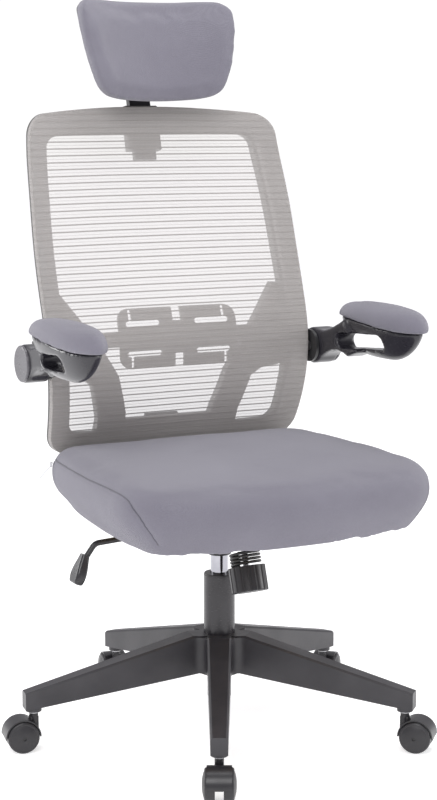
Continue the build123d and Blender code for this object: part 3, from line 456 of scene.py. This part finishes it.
# chrome: its base colour is held dark and mottled darker in broad patches, a painted dark reflection along
# the rod
CHROME_PAINTED_REFLECTION = metal("chrome", (0.46, 0.46, 0.49), (0.30, 0.30, 0.33), 0.06, 0.13)
STEEL = metal("steel", (0.52, 0.52, 0.54), (0.42, 0.42, 0.44), 0.26, 0.38)
WOOD = timber("plywood")

SLOT_LOOKS = {
    "mesh_fabric": BACK_MESH, "seat_fabric": GREY_CLOTH, "headrest_fabric": GREY_CLOTH,
    "dark_plastic": BLACK_PLASTIC, "base_plastic": BASE_PLASTIC, "wheel_plastic": TYRE_PLASTIC,
    "arm_pad_skin": GREY_CLOTH, "frame_plastic": FRAME_PLASTIC, "painted_steel": PAINTED,
    "bright_steel": CHROME_PAINTED_REFLECTION, "plain_steel": STEEL, "plywood": WOOD,
}
NODE_LOOKS = {"headrest_post": BLACK_PLASTIC, "headrest_shell": BLACK_PLASTIC, "zip_slider": STEEL,
              "back_frame": DARK_FRAME, "back_support": FRAME_PLASTIC, "tension_spring": PAINTED,
              "lift_outer_tube": COLUMN_PAINT, "arm_cap_left": CAP_PLASTIC, "arm_cap_right": CAP_PLASTIC,
              **{f"caster_axle_{n}": PAINTED for n in range(1, 6)}}


def dress(piece, material):
    piece.data.materials.clear()
    piece.data.materials.append(material)


def dress_nodes():
    slots = {entry["node"]: entry["material_slot"] for entry in frame["record"]["subparts"]}
    for name, node in NODES.items():
        material = NODE_LOOKS.get(name, SLOT_LOOKS[slots[name]])
        for slot in node.material_slots:
            slot.material = material
        if not node.material_slots:
            node.data.materials.append(material)


# ------------------------------------------------------------------ seat
def make_seat():
    low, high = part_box("seat_cushion")
    seat = remeshed("seat_cushion", "seat_cover", SEAT_VOXEL, filled=True)
    co = points_of(seat)
    height = (co[:, 2] - low.z) / (high.z - low.z)
    half = high.x
    middle = (low.y + high.y) / 2
    reach = (high.y - low.y) / 2
    upper = np.clip((height - 0.35) / 0.65, 0, 1)
    dome = np.clip(1 - (co[:, 0] / half) ** 2, 0, 1)
    dome = dome * np.clip(1 - ((co[:, 1] - middle) / reach) ** 2, 0, 1)
    lip = np.clip((-0.10 - co[:, 1]) / 0.18, 0, 1)
    tail = np.clip((co[:, 1] - 0.08) / 0.10, 0, 1)
    co[:, 2] += upper * (0.005 * dome - 0.017 * lip ** 2 - 0.006 * tail ** 2)
    set_points(seat, co)
    relax(seat, 2)
    normal = normals_of(seat)
    under = (points_of(seat)[:, 2] < low.z + 0.03) & (normal[:, 2] < -0.8)
    relax(seat, 3, keep=under)
    swell(seat, SEAT_SWELL, under)
    relax(seat, 2, keep=under)
    # the underside is flat, and open round the board and its bracket
    board = surface_of(NODES["seat_board"])
    board_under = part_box("seat_board")[0].z
    co = points_of(seat)
    for k in np.nonzero(under)[0]:
        x, y, _ = co[k]
        covered = board.ray_cast(Vector((x, y, 0)), Vector((0, 0, 1)))[0] is not None
        if covered or (abs(x) < BRACKET_NOTCH and y > 0.1):
            co[k, 2] = board_under + 0.0006
    set_points(seat, co)
    subdivide(seat)

    for side, name in ((1, "left"), (-1, "right")):
        line = [(side * 0.196, 0.158, 0.439), (side * 0.226, 0.128, 0.441), (side * 0.242, 0.03, 0.443),
                (side * 0.252, -0.07, 0.445), (side * 0.252, -0.150, 0.444), (side * 0.248, -0.196, 0.438),
                (side * 0.243, -0.226, 0.420), (side * 0.236, -0.240, 0.395), (side * 0.222, -0.240, 0.371)]
        path = laid_on(seat, smooth_path(line), 0.0)
        press_seam(seat, path, 0.0022, 0.010)
        path = laid_on(seat, path, -0.0003)
        welt = tube(f"seat_seam_{name}", path, 0.0011)
        dress(welt, SEAM_CLOTH)
        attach(welt, "seat")

    dress(seat, GREY_CLOTH)
    seat.data.materials.append(UNDER_CLOTH)
    for face in seat.data.polygons:
        if face.normal.z < -0.5 and board.ray_cast(
                Vector((face.center.x, face.center.y, 0)), Vector((0, 0, 1)))[0] is not None:
            face.material_index = 1
    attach(seat, "seat")
    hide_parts("seat_cushion")


# ------------------------------------------------------------------ headrest
def make_headrest():
    pad = remeshed("headrest_pad", "headrest_cover", HEAD_VOXEL)
    relax(pad, 4)
    normal = normals_of(pad)
    rear = normal[:, 1] > 0.80
    relax(pad, 14, keep=rear)
    swell(pad, HEAD_SWELL, rear)
    relax(pad, 2, keep=rear)
    subdivide(pad)
    dress(pad, GREY_CLOTH)
    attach(pad, "headrest")
    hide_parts("headrest_pad")

    # the cover is drawn in round the back shell by a sewn edge
    low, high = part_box("headrest_pad")
    skin = surface_of(NODES["headrest_shell"])
    edge = []
    centre = Vector(((low.x + high.x) / 2, 0, (low.z + high.z) / 2 + 0.004))
    for k in range(SEAM_SEGMENTS):
        a = 2 * math.pi * k / SEAM_SEGMENTS
        out = Vector((math.cos(a), 0, math.sin(a)))
        spot = outline_hit(skin, centre, out, 0.20)
        edge.append(spot + out * 0.0035)
    path = laid_on(pad, edge, -0.0002)
    welt = tube("headrest_edge_seam", path, 0.0012, closed=True)
    dress(welt, SEAM_CLOTH)
    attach(welt, "headrest")


def outline_hit(skin, centre, out, far, start_y=-0.2):
    """The outermost point of a sheet-like skin along a direction of its front view."""
    near, spot = 0.0, None
    for _ in range(22):
        middle = (near + far) / 2
        at = centre + out * middle
        hit = skin.ray_cast(Vector((at.x, start_y, at.z)), Vector((0, 1, 0)))[0]
        if hit is None:
            far = middle
        else:
            near, spot = middle, hit
    return spot


# ------------------------------------------------------------------ backrest
def make_back():
    low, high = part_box("back_mesh")
    skin = surface_of(NODES["back_mesh"])
    centre = Vector((0, 0, (low.z + high.z) / 2))
    rim = []
    for k in range(MESH_SPOKES):
        a = 2 * math.pi * k / MESH_SPOKES
        out = Vector((math.cos(a) * 0.62, 0, math.sin(a))).normalized()
        edge = outline_hit(skin, centre, out, 0.45)
        rim.append((out, (Vector((edge.x, 0, edge.z)) - centre).length))
    fractions = [k / MESH_RINGS for k in range(1, MESH_RINGS)] + [MESH_EDGE]
    points = [skin.ray_cast(Vector((0, -0.2, centre.z)), Vector((0, 1, 0)))[0]]
    for fraction in fractions:
        for out, far in rim:
            at = centre + out * (far * fraction)
            hit = skin.ray_cast(Vector((at.x, -0.2, at.z)), Vector((0, 1, 0)))[0]
            points.append(hit)
    last = points[-MESH_SPOKES:]
    spread = [Vector((edge.x, 0, edge.z)) - centre for edge in last]
    for back, grow in MESH_WRAP:
        for edge, out in zip(last, spread):
            points.append(edge + out.normalized() * grow + Vector((0, back, 0)))
    rings = len(fractions) + len(MESH_WRAP)
    faces = []
    for j in range(MESH_SPOKES):
        following = (j + 1) % MESH_SPOKES
        faces.append((0, 1 + following, 1 + j))
        for i in range(rings - 1):
            near, far = 1 + i * MESH_SPOKES, 1 + (i + 1) * MESH_SPOKES
            faces.append((near + j, near + following, far + following, far + j))
    sheet = new_piece("back_mesh_sheet", points, faces)
    dress(sheet, BACK_MESH)
    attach(sheet, "seat")
    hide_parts("back_mesh")


# ------------------------------------------------------------------ arms
def make_arm(side, name):
    shell = remeshed(f"arm_body_{name}", f"arm_shell_{name}", MOULD_VOXEL)
    relax(shell, 7)
    dress(shell, SHELL_PLASTIC)
    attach(shell, f"arm_{name}")
    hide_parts(f"arm_body_{name}")

    pad = remeshed(f"arm_pad_{name}", f"arm_pad_cover_{name}", PAD_VOXEL)
    relax(pad, 4)
    normal = normals_of(pad)
    under = normal[:, 2] < -0.5
    swell(pad, PAD_SWELL, under)
    relax(pad, 3)
    subdivide(pad)
    co = points_of(pad)
    inner = co[:, 0] * side < PAD_INNER_X
    co[inner, 0] = side * PAD_INNER_X
    set_points(pad, co)
    dress(pad, GREY_CLOTH)
    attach(pad, f"arm_{name}")
    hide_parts(f"arm_pad_{name}")


# ------------------------------------------------------------------ studio
def make_floor():
    points = [(0, 0, 0)]
    for k in range(FLOOR_SEGMENTS):
        a = 2 * math.pi * k / FLOOR_SEGMENTS
        points.append((FLOOR_RADIUS * math.cos(a), FLOOR_RADIUS * math.sin(a), 0))
    faces = [(0, 1 + k, 1 + (k + 1) % FLOOR_SEGMENTS) for k in range(FLOOR_SEGMENTS)]
    floor = new_piece("floor", points, faces)
    floor.location.z = -FLOOR_DROP
    dress(floor, pale_floor("pale_floor"))


def area_light(name, place, toward, size, power):
    data = bpy.data.lights.new(name, "AREA")
    data.shape = "DISK"
    data.size = size
    data.energy = power
    light = bpy.data.objects.new(name, data)
    light.location = place
    light.rotation_euler = (Vector(toward) - Vector(place)).to_track_quat("-Z", "Y").to_euler()
    bpy.context.scene.collection.objects.link(light)


def make_studio():
    scene = bpy.context.scene
    scene.view_settings.view_transform = "Standard"
    world = bpy.data.worlds.new("studio")
    world.use_nodes = True
    nodes, links = world.node_tree.nodes, world.node_tree.links
    seen = nodes["Background"]
    seen.inputs["Color"].default_value = (1.0, 1.0, 1.0, 1.0)
    seen.inputs["Strength"].default_value = BACKDROP
    shining = nodes.new("ShaderNodeBackground")
    shining.inputs["Color"].default_value = (0.97, 0.96, 1.0, 1.0)
    shining.inputs["Strength"].default_value = WORLD_LIGHT
    ray = nodes.new("ShaderNodeLightPath")
    either = nodes.new("ShaderNodeMixShader")
    links.new(ray.outputs["Is Camera Ray"], either.inputs["Fac"])
    links.new(shining.outputs[0], either.inputs[1])
    links.new(seen.outputs[0], either.inputs[2])
    links.new(either.outputs[0], nodes["World Output"].inputs["Surface"])
    scene.world = world
    for light in LIGHTS:
        area_light(*light)


def make_camera():
    data = bpy.data.cameras.new("camera")
    data.lens = CAMERA_LENS
    data.sensor_width = CAMERA_SENSOR
    data.shift_x = CAMERA_SHIFT
    camera = bpy.data.objects.new("camera", data)
    camera.location = CAMERA_PLACE
    camera.rotation_euler = (math.radians(90 - CAMERA_PITCH), 0, math.radians(CAMERA_HEADING))
    bpy.context.scene.collection.objects.link(camera)
    bpy.context.scene.camera = camera


dress_nodes()
make_seat()
make_headrest()
make_back()
make_arm(1, "left")
make_arm(-1, "right")
make_floor()
make_studio()
make_camera()
